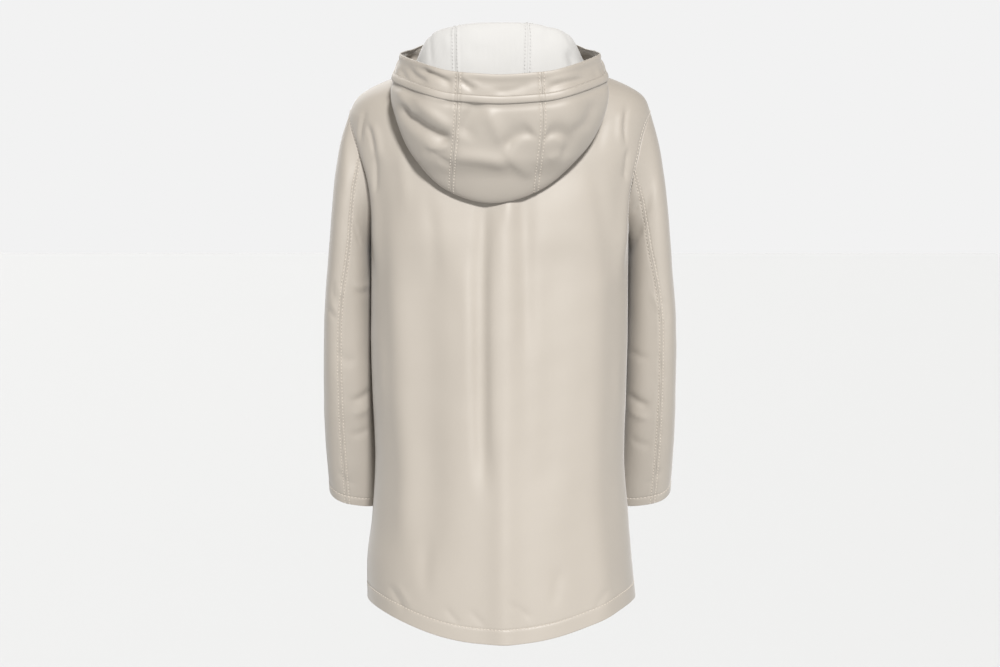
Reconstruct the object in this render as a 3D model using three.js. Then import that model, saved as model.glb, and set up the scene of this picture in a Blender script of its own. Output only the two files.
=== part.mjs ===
import * as THREE from 'three';

// Hooded A-line raincoat with the hood down, filled out as it is worn, with nobody in it.
// Millimetres, +Z up. The wearer faces +Y and the wearer's right is +X.
// The origin is on the axis of the neck, level with the side neck points of the shoulder seams.

// Driving sizes
const clothWall = 1.6;
const seamGap = 0.3;
const layGap = 0.4;
const mitreReach = 1.25;
const hemRound = 3.3;
const placketWide = 36;
const placketWall = 1.8;
const placketTopRow = 0.5;
const studCount = 6;
const studRadius = 6;
const studHigh = 2.6;
const studSides = 12;
const studTop = -100;
const studStep = 112;
const channelFromRim = 29;
const channelFromRimFront = 19;
const channelWide = 11;
const channelEdge = 1.2;
const channelHigh = 2.8;
const rimStep = 12;

const beige = 0xd2c7b8;
const studMetal = 0xb9b3a8;

const coatedCloth = () => new THREE.MeshStandardMaterial({ color: beige, roughness: 0.42, metalness: 0 });
const studFinish = () => new THREE.MeshStandardMaterial({ color: studMetal, roughness: 0.3, metalness: 0.9 });

// A table is a list of column names and a row of numbers for each section or fold.
function table(columns, rows) {
  const names = columns.split(' ');
  return rows.map((row) => Object.fromEntries(names.map((name, at) => [name, row[at]])));
}

// A smooth curve through values at uneven places, with the slope of the parabola through each three.
function smoothThrough(places, values) {
  const last = places.length - 1;
  const rise = (at) => (values[at + 1] - values[at]) / (places[at + 1] - places[at]);
  const slope = (at) => {
    if (at === 0) return rise(0);
    if (at === last) return rise(last - 1);
    const before = places[at] - places[at - 1];
    const after = places[at + 1] - places[at];
    return (rise(at - 1) * after + rise(at) * before) / (before + after);
  };
  const slopes = places.map((_, at) => slope(at));
  return (place) => {
    let at = 0;
    while (at < last - 1 && place > places[at + 1]) at += 1;
    const span = places[at + 1] - places[at];
    const t = (place - places[at]) / span;
    const hold = (1 + 2 * t) * (1 - t) * (1 - t);
    const reach = t * t * (3 - 2 * t);
    const leave = t * (1 - t) * (1 - t) * span;
    const arrive = t * t * (t - 1) * span;
    return hold * values[at] + reach * values[at + 1] + leave * slopes[at] + arrive * slopes[at + 1];
  };
}

const mix = (from, to, share) => from + (to - from) * share;
const ease = (share) => {
  const held = Math.min(1, Math.max(0, share));
  return held * held * (3 - 2 * held);
};

// Body of the coat: rings from the neck down to the hem. side, back and front are the ring's heights there,
// left and right its half widths, deepBack and deepFront its depths, boxBack and boxFront how boxy it is.
const bodyRows = table('side back front left right deepBack deepFront boxBack boxFront', [
  [0, 14, -58, 74, 74, 72, 78, 2.0, 2.0],
  [-9, 3, -63, 110, 112, 80, 85, 2.1, 2.1],
  [-21, -18, -71, 155, 161, 89, 94, 2.2, 2.2],
  [-43, -48, -82, 198, 202, 98, 103, 2.3, 2.3],
  [-67, -75, -96, 214, 215, 105, 113, 2.4, 2.4],
  [-88, -97, -112, 217, 217, 110, 123, 2.4, 2.4],
  [-126, -132, -142, 207.5, 207, 117, 135, 2.6, 2.5],
  [-158, -163, -170, 195, 194.5, 120, 142, 2.8, 2.4],
  [-186, -190, -196, 187, 186.5, 122, 147, 3.0, 2.3],
  [-215, -218, -222, 184.5, 184, 124, 149, 3.0, 2.3],
  [-245, -247, -250, 184, 183.5, 126, 150, 2.9, 2.3],
  [-290, -292, -293, 184.5, 183.5, 128, 151, 2.6, 2.3],
  [-383, -386, -385, 187, 184.5, 133, 149, 2.35, 2.3],
  [-470, -476, -472, 185.5, 183, 136, 146, 2.25, 2.25],
  [-573, -584, -575, 181.5, 181, 140, 145, 2.2, 2.2],
  [-658, -680, -660, 186.5, 187, 145, 147, 2.2, 2.2],
  [-715, -748, -718, 194, 192, 148, 149, 2.2, 2.2],
  [-772, -812, -776, 194, 197.5, 150, 151, 2.2, 2.2],
]);
const tipRow = 4;
const underarmRow = 10;
const hemRow = bodyRows.length - 1;

const columnsOf = (rows, places) => Object.fromEntries(
  Object.keys(rows[0]).map((name) => [name, smoothThrough(places, rows.map((row) => row[name]))]),
);
const bodyColumn = columnsOf(bodyRows, bodyRows.map((_, at) => at));

// Armhole seam: how far behind and before the side it crosses the rings from the shoulder tip to the underarm.
// Behind, the right one is pulled further in than the left one.
const armholeTable = table('row behindLeft behindRight before', [
  [4, 0, 0, 0],
  [5, 30, 44, 33],
  [6, 45, 56, 55],
  [7, 46, 56, 58],
  [8, 40, 46, 52],
  [9, 25, 28, 33],
  [10, 0, 0, 0],
]);
const armholeRowPlaces = armholeTable.map((at) => at.row);
const squaresOf = (name) => smoothThrough(armholeRowPlaces, armholeTable.map((at) => at[name] ** 2));
const armholeSquared = {
  behindLeft: squaresOf('behindLeft'),
  behindRight: squaresOf('behindRight'),
  before: squaresOf('before'),
};

// Largest folds of the body. Each runs down from one angle round the ring (in degrees from the middle of the
// back or front, positive to the wearer's right) to another, between two heights, soft over its width in
// degrees, and stands out by so much, or in where out is negative.
const backFolds = table('fromTurn toTurn top bottom wide out', [
  [1.5, 2, -150, -900, 6, 6],
  [-7, -7, -150, -620, 3.6, -5],
  [10.5, 11.5, -150, -430, 4, -4],
  [-31, -32, -230, -740, 9, -5],
  [-48, -45, -200, -700, 7, 4],
  [24, 21, -200, -640, 8, -3.5],
  [44, 47, -230, -900, 8, 4],
  [-61, -62, -84, -330, 6, 6],
  [61, 62, -84, -330, 6, 6],
  [-71, -71, -90, -200, 4, -3],
  [71, 71, -90, -200, 4, -3],
]);
const frontFolds = table('fromTurn toTurn top bottom wide out', [
  [-27, -31, -300, -900, 8, 4],
  [28, 33, -320, -900, 8, 4],
  [-14, -16, -340, -900, 6, -3],
  [15, 17, -330, -900, 6, -3],
  [-50, -52, -320, -740, 7, -3],
  [49, 51, -320, -740, 7, -3],
]);
const foldFade = 90;

function foldOut(folds, degrees, z) {
  return folds.reduce((sum, fold) => {
    const down = (fold.top - z) / (fold.top - fold.bottom);
    const middle = mix(fold.fromTurn, fold.toTurn, Math.min(1, Math.max(0, down)));
    const across = (degrees - middle) / fold.wide;
    const begin = ease((fold.top - z) / foldFade);
    const end = ease((z - fold.bottom) / foldFade);
    return sum + fold.out * begin * end * Math.exp(-across * across);
  }, 0);
}

const boxiness = (face, row) => (face < 0 ? bodyColumn.boxBack(row) : bodyColumn.boxFront(row));

// One point of the body. face is -1 on the back and 1 on the front, turn is the angle from its middle,
// positive to the wearer's right, and row is a place in the table of rings.
function bodyPoint(face, turn, row) {
  const side = Math.sin(turn);
  const middle = Math.cos(turn);
  const boxy = boxiness(face, row);
  const shrink = (Math.abs(side) ** boxy + Math.abs(middle) ** boxy) ** (-1 / boxy);
  const reach = mix(bodyColumn.left(row), bodyColumn.right(row), (1 + side) / 2);
  const deep = face < 0 ? bodyColumn.deepBack(row) : bodyColumn.deepFront(row);
  const centre = face < 0 ? bodyColumn.back(row) : bodyColumn.front(row);
  const inward = middle * shrink;
  const x = reach * side * shrink;
  const y = face * deep * inward;
  const z = mix(bodyColumn.side(row), centre, inward ** hemRound);
  const out = foldOut(face < 0 ? backFolds : frontFolds, THREE.MathUtils.radToDeg(turn), z);
  const away = new THREE.Vector2(x / (reach * reach), y / (deep * deep)).normalize();
  return new THREE.Vector3(x + away.x * out, y + away.y * out, z);
}

// The angle at which the side seam, armhole or shoulder seam crosses a ring
function edgeTurn(face, hand, row) {
  if (row <= tipRow || row >= underarmRow) return Math.PI / 2;
  const deep = face < 0 ? bodyColumn.deepBack(row) : bodyColumn.deepFront(row);
  const behind = hand < 0 ? armholeSquared.behindLeft : armholeSquared.behindRight;
  const squared = face < 0 ? behind(row) : armholeSquared.before(row);
  const share = Math.sqrt(Math.max(0, squared)) / deep;
  const boxy = boxiness(face, row);
  return Math.atan2((1 - share ** boxy) ** (1 / boxy), share);
}

// Directions in which the wall's inner face lies at the neck seam and the armholes, where two pieces meet
// at an angle and share a mitred edge
function neckInward(point) {
  const round = Math.hypot(point.x, point.y);
  const inward = new THREE.Vector3(-point.x / round, -point.y / round, -1);
  return inward.normalize().multiplyScalar(clothWall * mitreReach);
}

const armholeMiddle = new THREE.Vector3(199, 2, -152);
function armholeInward(hand, point) {
  const middle = armholeMiddle.clone();
  middle.x *= hand;
  return middle.sub(point).normalize().multiplyScalar(clothWall * mitreReach);
}

// Even steps from one value to another, both included
const steps = (from, to, count) => Array.from({ length: count + 1 }, (_, at) => mix(from, to, at / count));

// The unit normal of a surface at one place of its grid, taken inside the grid's own bounds
function surfaceNormal(point, across, along, u, v) {
  const small = 1e-3;
  const alongU = point(Math.min(u + small, across.at(-1)), v).sub(point(Math.max(u - small, across[0]), v));
  const alongV = point(u, Math.min(v + small, along.at(-1))).sub(point(u, Math.max(v - small, along[0])));
  return alongU.cross(alongV).normalize();
}

// A closed wall of cloth over a grid of points. point gives the outer face, facing is 1 where that face lies
// on the side of across x along and -1 where it lies on the other, and the wall lies inside it. inwardAt may
// give another way to the inner face, as on a mitred edge. trim draws an edge in for its seam.
function clothPiece({ name, across, along, point, facing = 1, inwardAt = () => null, trim = {} }) {
  const outer = along.map((v) => across.map((u) => point(u, v)));
  const inner = along.map((v, row) => across.map((u, column) => {
    const turned = inwardAt(u, v, outer[row][column]);
    return turned ?? surfaceNormal(point, across, along, u, v).multiplyScalar(-facing * clothWall);
  }));
  const lastRow = along.length - 1;
  const lastColumn = across.length - 1;
  const shift = outer.map((row) => row.map(() => new THREE.Vector3()));
  const pull = (row, column, toRow, toColumn, far) => {
    const edge = toRow === row
      ? outer[Math.min(row + 1, lastRow)][column].clone().sub(outer[Math.max(row - 1, 0)][column])
      : outer[row][Math.min(column + 1, lastColumn)].clone().sub(outer[row][Math.max(column - 1, 0)]);
    edge.normalize();
    const way = outer[toRow][toColumn].clone().sub(outer[row][column]);
    way.addScaledVector(edge, -way.dot(edge)).normalize();
    shift[row][column].addScaledVector(way, far);
  };
  for (let row = 0; row <= lastRow; row += 1) {
    if (trim.start) pull(row, 0, row, 1, trim.start);
    if (trim.end) pull(row, lastColumn, row, lastColumn - 1, trim.end);
  }
  for (let column = 0; column <= lastColumn; column += 1) {
    if (trim.top) pull(0, column, 1, column, trim.top);
    if (trim.bottom) pull(lastRow, column, lastRow - 1, column, trim.bottom);
  }
  const positions = [];
  for (const layer of [0, 1]) {
    outer.forEach((row, r) => row.forEach((place, c) => {
      const at = place.clone().add(shift[r][c]);
      if (layer === 1) at.add(inner[r][c]);
      positions.push(at.x, at.y, at.z);
    }));
  }
  const width = across.length;
  const sheet = width * along.length;
  const corner = (layer, row, column) => layer * sheet + row * width + column;
  const faces = [];
  const quad = (a, b, c, d) => faces.push(a, b, c, a, c, d);
  const face = (layer, row, column) => {
    const ring = [[0, 0], [0, 1], [1, 1], [1, 0]].map(([down, on]) => corner(layer, row + down, column + on));
    // The split runs the other way on the wearer's right, so that the two hands are mirror images.
    if (across[column] >= 0) ring.push(ring.shift());
    return layer === 0 ? ring : [ring[0], ring[3], ring[2], ring[1]];
  };
  const rimOf = (fromRow, fromColumn, toRow, toColumn) => quad(
    corner(0, fromRow, fromColumn),
    corner(0, toRow, toColumn),
    corner(1, toRow, toColumn),
    corner(1, fromRow, fromColumn),
  );
  for (let row = 0; row < lastRow; row += 1) {
    for (let column = 0; column < lastColumn; column += 1) {
      quad(...face(0, row, column));
      quad(...face(1, row, column));
    }
    rimOf(row, 0, row + 1, 0);
    rimOf(row + 1, lastColumn, row, lastColumn);
  }
  for (let column = 0; column < lastColumn; column += 1) {
    rimOf(0, column + 1, 0, column);
    rimOf(lastRow, column, lastRow, column + 1);
  }
  return closedMesh(name, positions, faces);
}

// A strip that lies on a panel: the panel's points moved out by the lay gap and by its own height there
function laidPiece({ name, across, along, base, heightAt }) {
  const out = (u, v) => surfaceNormal(base, across, along, u, v);
  const point = (u, v) => base(u, v).addScaledVector(out(u, v), layGap + heightAt(v));
  const inwardAt = (u, v) => out(u, v).multiplyScalar(-heightAt(v));
  return clothPiece({ name, across, along, point, inwardAt });
}

// Turns the faces out if the solid came out inside out
function closedMesh(name, positions, faces) {
  let volume = 0;
  const at = (index) => new THREE.Vector3().fromArray(positions, index * 3);
  for (let face = 0; face < faces.length; face += 3) {
    volume += at(faces[face]).dot(at(faces[face + 1]).cross(at(faces[face + 2])));
  }
  if (volume < 0) {
    for (let face = 0; face < faces.length; face += 3) {
      [faces[face + 1], faces[face + 2]] = [faces[face + 2], faces[face + 1]];
    }
  }
  const geometry = new THREE.BufferGeometry();
  geometry.setAttribute('position', new THREE.Float32BufferAttribute(positions, 3));
  geometry.setIndex(faces);
  geometry.computeVertexNormals();
  const mesh = new THREE.Mesh(geometry, coatedCloth());
  mesh.name = name;
  return mesh;
}

// Rows of the body pieces: the shoulder, the armhole and the skirt of the coat
const armholeRows = [4, 4.2, 4.65, 5.25, 6, 6.5, 7, 7.5, 8.2, 9.2, 10];
const bodyAlong = [0, 0.5, 1, 1.5, 2, 2.5, 3, 3.5, ...armholeRows, ...steps(10.5, hemRow, 13)];
const isArmhole = (row) => row >= tipRow && row <= underarmRow;

function bodyPiece(name, face, from, to, columns, trim) {
  const across = steps(from, to, columns);
  const point = (u, row) => bodyPoint(face, u * edgeTurn(face, u, row), row);
  const turns = [-Math.PI / 2, Math.PI / 2];
  const rows = [0, hemRow];
  const normal = (turn, row) => surfaceNormal((t, r) => bodyPoint(face, t, r), turns, rows, turn, row);
  const inwardAt = (u, row, place) => {
    if (row === 0) return neckInward(place);
    if (Math.abs(u) === 1 && isArmhole(row)) return armholeInward(Math.sign(u), place);
    return normal(u * edgeTurn(face, u, row), row).multiplyScalar(-face * clothWall);
  };
  const allTrim = { top: seamGap / 2, ...trim };
  return clothPiece({ name, across, along: bodyAlong, point, facing: face, inwardAt, trim: allTrim });
}

const backColumns = 28;
const frontColumns = 12;
const back = bodyPiece('back', -1, -1, 1, backColumns, { start: seamGap / 2, end: seamGap / 2 });
const frontLeft = bodyPiece('front_left', 1, -1, 0, frontColumns, { start: seamGap / 2, end: seamGap / 2 });
const frontRight = bodyPiece('front_right', 1, 0, 1, frontColumns, { start: seamGap / 2, end: seamGap / 2 });

// Placket: a strip over the front closing, on both fronts, with the caps of its press studs
const frontCentre = (row) => bodyPoint(1, 0, row);
const placketBase = (across, row) => {
  const reach = (bodyColumn.left(row) + bodyColumn.right(row)) / 2;
  return bodyPoint(1, Math.atan2(across, reach), row);
};
const placketAcross = steps(-placketWide / 2, placketWide / 2, 4);
const placketAlong = bodyAlong.filter((row) => row >= placketTopRow);
const placket = laidPiece({
  name: 'placket', across: placketAcross, along: placketAlong, base: placketBase, heightAt: () => placketWall,
});

// The row at which the middle of the front has a given height
function frontRowAt(height) {
  let [above, below] = [0, hemRow];
  while (below - above > 1e-6) {
    const middle = (above + below) / 2;
    if (frontCentre(middle).z > height) above = middle;
    else below = middle;
  }
  return above;
}

function pressStud(index) {
  const row = frontRowAt(studTop - index * studStep);
  const out = surfaceNormal(placketBase, placketAcross, placketAlong, 0, row);
  const profile = [[0, 0], [0.88, 0], [1, 0.2], [1, 0.6], [0.72, 1], [0, 1]];
  const points = profile.map(([wide, high]) => new THREE.Vector2(wide * studRadius, high * studHigh));
  const mesh = new THREE.Mesh(new THREE.LatheGeometry(points, studSides), studFinish());
  mesh.name = `press_stud_${index + 1}`;
  mesh.quaternion.setFromUnitVectors(new THREE.Vector3(0, 1, 0), out);
  mesh.position.copy(frontCentre(row)).addScaledVector(out, 2 * layGap + placketWall);
  return mesh;
}

const pressStuds = Array.from({ length: studCount }, (_, index) => pressStud(index));

// Sleeves: rings from the armhole to the cuff, with the outermost and the innermost point of each, how deep
// it is from there to its back and front, how far its plane leans, since the arm hangs a little forward, and
// how boxy it is
const sleeveRings = table('place outX outY outZ inX inY inZ deep lean boxy', [
  [42, 227.5, 0, -108, 187, 30, -266, 60, 0, 2.1],
  [92, 236, 4, -155, 185.5, 44, -294, 65, 2, 2.3],
  [152, 243, 11, -215, 185, 52, -327, 67, 4, 2.5],
  [206, 249, 20, -280, 184.8, 58, -364, 66, 7, 2.7],
  [258, 255, 30, -345, 184, 64, -406, 64, 10, 2.9],
  [310, 258, 42, -405, 182.5, 70, -450, 62, 12, 2.9],
  [380, 259.5, 62, -480, 179.5, 84, -512, 59, 15, 2.8],
  [452, 259.5, 88, -555, 175, 105, -575, 56, 17, 2.7],
  [526, 257.5, 117, -628, 170, 130, -642, 53, 19, 2.6],
]);
const halfRing = armholeRows.length - 1;

// The place in the table of rings after so many steps along the armhole. It starts slowly at the shoulder tip
// and ends slowly at the underarm, where the armhole turns back, so that its points move on evenly there.
function armholeRow(step) {
  const whole = Math.min(Math.floor(step), halfRing - 1);
  let share = step - whole;
  if (whole === 0) share **= 2;
  if (whole === halfRing - 1) share = 1 - (1 - share) ** 2;
  return mix(armholeRows[whole], armholeRows[whole + 1], share);
}

function sleevePoint(hand, around, place) {
  const face = around < 0 ? 1 : -1;
  const row = armholeRow(Math.abs(around));
  const start = bodyPoint(face, hand * edgeTurn(face, hand, row), row);
  start.x += hand * seamGap;
  const turn = (around / halfRing) * Math.PI;
  const points = sleeveRings.map((ring) => {
    const inner = new THREE.Vector3(ring.inX, ring.inY, ring.inZ);
    const half = new THREE.Vector3(ring.outX, ring.outY, ring.outZ).sub(inner).multiplyScalar(0.5);
    const middle = inner.clone().add(half);
    const lean = THREE.MathUtils.degToRad(ring.lean);
    const backward = new THREE.Vector3(0, -ring.deep * Math.cos(lean), -ring.deep * Math.sin(lean));
    const [side, behind] = [Math.cos(turn), Math.sin(turn)];
    const shrink = (Math.abs(side) ** ring.boxy + Math.abs(behind) ** ring.boxy) ** (-1 / ring.boxy);
    const at = middle.addScaledVector(half, side * shrink).addScaledVector(backward, behind * shrink);
    at.x *= hand;
    return at;
  });
  const places = [0, ...sleeveRings.map((ring) => ring.place)];
  const all = [start, ...points];
  const axis = (name) => smoothThrough(places, all.map((at) => at[name]))(place);
  return new THREE.Vector3(axis('x'), axis('y'), axis('z'));
}

// The back seam of the sleeve leaves the armhole four steps behind the shoulder tip, and the front seam six
// steps before it. The under piece runs round the underarm between them.
const backSeam = 4;
const frontSeam = -6;
const sleeveAlong = [
  0, 14, 28, 42, 66, 92, 122, 152, 180, 206, 232, 258, 284, 310, 345, 380, 416, 452, 489, 526,
];

function sleevePiece(name, hand, from, to) {
  const whole = 2 * halfRing;
  const wrap = (around) => (around > halfRing ? around - whole : around);
  const across = steps(from, to, to - from);
  const point = (around, place) => sleevePoint(hand, wrap(around), place);
  const inwardAt = (around, place, at) => (place === 0 ? armholeInward(hand, at) : null);
  const trim = { start: seamGap / 2, end: seamGap / 2 };
  return clothPiece({ name, across, along: sleeveAlong, point, facing: hand, inwardAt, trim });
}

const sleeves = [['left', -1], ['right', 1]].flatMap(([hand, sign]) => [
  sleevePiece(`sleeve_upper_${hand}`, sign, frontSeam, backSeam),
  sleevePiece(`sleeve_under_${hand}`, sign, backSeam, 2 * halfRing + frontSeam),
]);

// Hood: stations from the centre back round to the front edge, the same on both hands. Each rises from the
// neck seam at neckTurn, folds over at the top (fold), hangs down inside, turns at the bottom of the bag
// (floor), swells out behind (bulge) and ends at the rim of the hood opening. Places count from the seam.
const knotNames = ['fold', 'inner', 'floor', 'bulge', 'rim'];
const knotColumns = knotNames.flatMap((knot) => [`${knot}X`, `${knot}Y`, `${knot}Z`]);
const hoodStations = table(
  `neckTurn lift ${knotColumns.join(' ')}`,
  [
    [0, 8, 0, -25, 43, 0, -56, -74, 0, -64, -224, 0, -116, -108, 0, -127, -35],
    [33.7, 8, 21, -32, 46, 19, -64, -66, 18, -75, -201, 18, -126, -97, 15, -135, -25],
    [56, 10, 36, -35, 40, 41, -72, -50, 44, -90, -155, 43, -134, -81, 35, -137, -10],
    [72, 12, 41, -26, 15, 56, -68, -40, 65, -92, -101, 78, -104, -57, 65, -98, 8],
    [82, 12, 36, -20, 9, 50, -52, -14, 61, -73, -35, 73, -79, -20, 60, -72, 15],
    [94, 10, 31, -13, 10, 42, -33, -2, 55, -47, -8, 63, -51, 4, 46, -41, 21],
    [122, 4, 9, -4, 8, 14, -7, 9, 20, -10, 9, 27, -15, 12, 28, -25, 37],
    [150, 0, 2.5, 1, 4, 4.5, 2, 8, 6.5, 2.5, 12, 10, 3.5, 19, 19, 5, 50],
    [171, 0, 0.4, 1, 1.5, 0.6, 1.6, 3, 0.8, 2.2, 4.5, 1.1, 3.3, 7, 2.5, 15, 38],
  ],
);
const seamStation = 1;
const edgeStation = hoodStations.length - 1;
const foldTight = { before: 0.18, after: 0.08 };
const floorTight = { before: 0.09, after: 0.15 };
const standShare = 0.25;
const neckSeamGap = 0.45;
const hoodSeamTrim = 0.2;

// The bag hangs a little to the wearer's left: by bagLean at the bottom, from leanTop down over leanDeep, and
// only behind leanBehind, from where it comes in over leanSoft
const bagLean = -9;
const leanTop = -70;
const leanDeep = 125;
const leanBehind = -85;
const leanSoft = 40;

// The table's columns as smooth curves, carried on past the centre back with the hands changed over
const stationPlaces = steps(0, edgeStation, edgeStation);
const hoodColumn = Object.fromEntries(Object.keys(hoodStations[0]).map((name) => {
  const changes = name.endsWith('X') || name === 'neckTurn' ? -1 : 1;
  const values = hoodStations.map((station) => station[name]);
  const both = [...values.slice(1).reverse().map((value) => changes * value), ...values];
  const places = [...stationPlaces.slice(1).reverse().map((place) => -place), ...stationPlaces];
  return [name, smoothThrough(places, both)];
}));

// The knots at one place: neck, stand, the two ends of the fold, inner, the two ends of the floor, bulge, rim
function hoodKnots(place) {
  const turn = THREE.MathUtils.degToRad(hoodColumn.neckTurn(place));
  const beyond = Math.abs(turn) > Math.PI / 2;
  const neck = beyond ? bodyPoint(1, Math.sign(turn) * (Math.PI - Math.abs(turn)), 0) : bodyPoint(-1, turn, 0);
  neck.z += neckSeamGap;
  const offset = (name) => new THREE.Vector3(...['X', 'Y', 'Z'].map((axis) => hoodColumn[name + axis](place)));
  const pick = (name) => offset(name).add(neck);
  const [fold, inner, floor, bulge, rim] = knotNames.map(pick);
  const stand = neck.clone().lerp(fold, standShare);
  stand.z += hoodColumn.lift(place);
  return [
    neck,
    stand,
    fold.clone().lerp(stand, foldTight.before),
    fold.clone().lerp(inner, foldTight.after),
    inner,
    floor.clone().lerp(inner, floorTight.before),
    floor.clone().lerp(bulge, floorTight.after),
    bulge,
    rim,
  ];
}

const knotCount = hoodKnots(0).length;
const samplesByKnot = 12;

// The line of one station across the hood, from the neck seam to the rim, as a curve by arc length
const profiles = new Map();
function profile(place) {
  if (!profiles.has(place)) {
    const knots = hoodKnots(place);
    const places = [0];
    knots.slice(1).forEach((knot, at) => places.push(places[at] + Math.sqrt(knot.distanceTo(knots[at]))));
    const axis = (name) => smoothThrough(places, knots.map((knot) => knot[name]));
    const curves = [axis('x'), axis('y'), axis('z')];
    const at = (knotPlace) => {
      const whole = Math.min(Math.floor(knotPlace), knotCount - 2);
      const where = mix(places[whole], places[whole + 1], knotPlace - whole);
      return new THREE.Vector3(...curves.map((curve) => curve(where)));
    };
    const samples = steps(0, knotCount - 1, samplesByKnot * (knotCount - 1));
    const lengths = [0];
    samples.slice(1).forEach((sample, index) => {
      lengths.push(lengths[index] + at(sample).distanceTo(at(samples[index])));
    });
    profiles.set(place, { at, samples, lengths });
  }
  return profiles.get(place);
}

function knotAtLength({ samples, lengths }, far) {
  let index = 1;
  while (index < lengths.length - 1 && lengths[index] < far) index += 1;
  const share = (far - lengths[index - 1]) / (lengths[index] - lengths[index - 1]);
  return mix(samples[index - 1], samples[index], share);
}

function lengthAtKnot({ samples, lengths }, knotPlace) {
  const at = knotPlace * samplesByKnot;
  const whole = Math.min(Math.floor(at), samples.length - 2);
  return mix(lengths[whole], lengths[whole + 1], at - whole);
}

// Rows of the hood: up to rowsByKnot they follow the knots, and from there they keep to the rim, so that the
// channel and the rim run at one distance from the edge all the way round
const knotRows = [0, 0.5, 1, 1.5, 2, 2.5, 3, 3.5, 4, 4.35, 4.7, 4.9, 5.2, 5.5, 6, 6.5];
const swellRows = 4;
const swellLeast = 4;
const channelRow = knotRows.length - 1 + swellRows;
const rowsToRim = 3;
const hoodRowCount = channelRow + rowsToRim;

// Distances from the rim of the rows past the swell: the channel's two edges, one row more and the rim.
// The channel comes closer to the rim from nearStation on, where the hood gets low towards the front.
const nearStation = 3.2;
const nearOver = 2;
function rimDistances(place) {
  const near = mix(channelFromRim, channelFromRimFront, ease((Math.abs(place) - nearStation) / nearOver));
  return [near + channelWide, near, rimStep, 0];
}

function hoodKnot(place, row) {
  const line = profile(place);
  const length = line.lengths.at(-1);
  const lastKnotRow = knotRows.length - 1;
  const rimRows = rimDistances(place);
  const to = length - rimRows[0];
  const lastLength = lengthAtKnot(line, knotRows[lastKnotRow]);
  const from = Math.min(lastLength, to - swellLeast);
  if (row <= lastKnotRow) {
    const whole = Math.min(Math.floor(row), lastKnotRow - 1);
    const knotPlace = mix(knotRows[whole], knotRows[whole + 1], row - whole);
    return knotAtLength(line, lengthAtKnot(line, knotPlace) * (from / lastLength));
  }
  const past = row - lastKnotRow;
  if (past <= swellRows) return knotAtLength(line, mix(from, to, past / swellRows));
  const rim = Math.min(past - swellRows, rimRows.length - 1);
  const whole = Math.min(Math.floor(rim), rimRows.length - 2);
  return knotAtLength(line, length - mix(rimRows[whole], rimRows[whole + 1], rim - whole));
}

function hoodPoint(place, row) {
  const at = profile(place).at(hoodKnot(place, row));
  at.x += bagLean * ease((leanTop - at.z) / leanDeep) * ease((leanBehind - at.y) / leanSoft);
  return at;
}

const hoodAlong = steps(0, hoodRowCount, hoodRowCount);
const seamColumns = steps(-seamStation, seamStation, 8);
const sideColumns = steps(seamStation, edgeStation, 21);

function hoodPiece(name, across, trim) {
  const inwardAt = (place, row, at) => (row === 0 ? neckInward(at) : null);
  return clothPiece({ name, across, along: hoodAlong, point: hoodPoint, inwardAt, trim });
}

const hood = [
  hoodPiece('hood_centre', seamColumns, { start: hoodSeamTrim, end: hoodSeamTrim }),
  hoodPiece('hood_side_left', sideColumns.map((place) => -place).reverse(), { end: hoodSeamTrim }),
  hoodPiece('hood_side_right', sideColumns, { start: hoodSeamTrim }),
];

// Channel of the drawcord: a raised tunnel round the hood, a little below the rim, on the hood's own rows
const channelBase = (place, share) => (
  hoodPoint(place, channelRow).lerp(hoodPoint(place, channelRow + 1), share)
);
const besideSeams = sideColumns.slice(1);
const channelAcross = [...besideSeams.map((place) => -place).reverse(), ...seamColumns, ...besideSeams];
const channel = laidPiece({
  name: 'hood_channel',
  across: channelAcross,
  along: steps(0, 1, 3),
  base: channelBase,
  heightAt: (share) => (share === 0 || share === 1 ? channelEdge : channelHigh),
});

const model = new THREE.Group();
model.add(back, frontLeft, frontRight, placket, ...pressStuds, ...sleeves, ...hood, channel);

export default model;
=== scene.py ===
"""Looks of a hooded A-line raincoat of coated jersey, with its hood down, hollow and filled out as worn.

Sizes are in millimetres up to the mesh, which is in metres: +Z up, +Y towards the wearer's front and +X
towards the wearer's right, with the origin on the neck axis, level with the side neck points.
"""
from math import cos, pi, radians, sin

import bpy
import numpy as np
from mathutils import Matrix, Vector


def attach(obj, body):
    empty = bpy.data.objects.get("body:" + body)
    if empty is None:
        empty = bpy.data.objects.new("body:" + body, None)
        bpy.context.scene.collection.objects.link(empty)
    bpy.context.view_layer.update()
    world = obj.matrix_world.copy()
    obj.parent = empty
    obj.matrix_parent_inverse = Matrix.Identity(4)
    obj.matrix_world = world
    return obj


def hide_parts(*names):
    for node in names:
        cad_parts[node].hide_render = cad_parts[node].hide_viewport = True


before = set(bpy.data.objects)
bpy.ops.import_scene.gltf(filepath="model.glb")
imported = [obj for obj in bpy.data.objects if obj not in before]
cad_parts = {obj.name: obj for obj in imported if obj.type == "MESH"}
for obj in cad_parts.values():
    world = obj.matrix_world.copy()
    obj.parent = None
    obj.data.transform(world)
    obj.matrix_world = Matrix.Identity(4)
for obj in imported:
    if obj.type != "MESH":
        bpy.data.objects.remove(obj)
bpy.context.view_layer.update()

MM = 0.001

# Driving sizes of the coat, the same as its solids have
CLOTH_WALL = 0.9
HEM_WALL = 1.7
LAY_GAP = 0.15
HEM_ROUND = 3.3
PLACKET_WIDE = 36
PLACKET_WALL = 1.8
PLACKET_TOP_ROW = 0.5
PLACKET_LIFT = 0.3
PLACKET_STITCH = 3
STUD_COUNT = 6
CHANNEL_FROM_RIM = 29
CHANNEL_FROM_RIM_FRONT = 19
CHANNEL_WIDE = 11
CHANNEL_HIGH = 2.6
CHANNEL_SQUARED = 0.8
RIM_STEP = 12

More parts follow.
